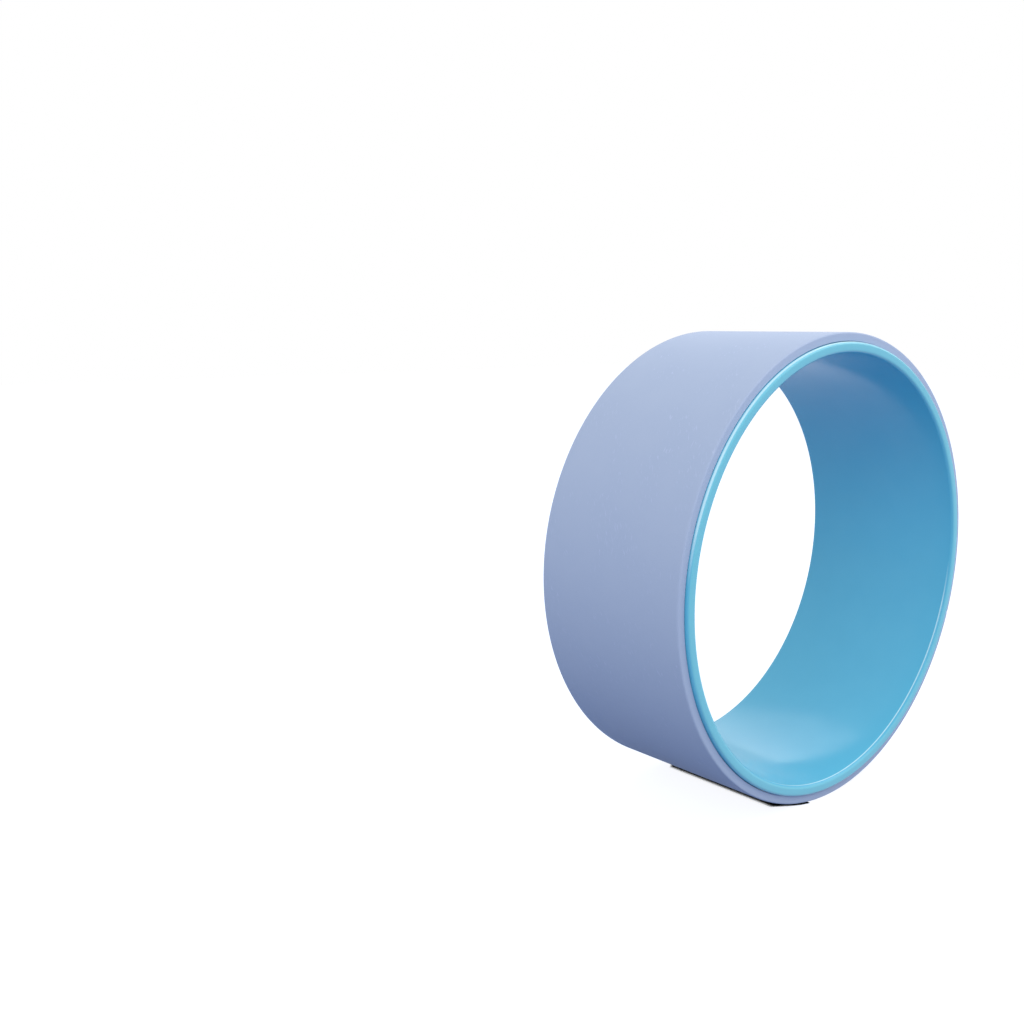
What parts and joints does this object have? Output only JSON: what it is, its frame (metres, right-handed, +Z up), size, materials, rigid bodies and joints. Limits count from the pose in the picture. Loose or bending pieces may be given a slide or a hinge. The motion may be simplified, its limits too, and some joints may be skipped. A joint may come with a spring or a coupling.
{
  "type": "back roller wheel",
  "caption": "Hollow wheel for back stretching: a rigid plastic ring, open at both ends, with a foam pad bonded round its tread.",
  "frame": {"origin": "centre of the wheel, on its axis and midway between the ring's two ends", "axes": "+Y along the wheel's axis, +Z up as the wheel stands on its tread, +X forward along its rolling direction"},
  "size_m": [0.3298, 0.128, 0.3298],
  "materials": {
    "ring_abs": "glossy moulded ABS, cyan",
    "bond_film": "acrylic bonding film, off-white",
    "pad_foam": "matt closed-cell TPE foam, periwinkle"
  },
  "bodies": {
    "root": {"core_ring": "ring_abs", "adhesive_film": "bond_film", "foam_pad": "pad_foam"}
  },
  "joints": []
}
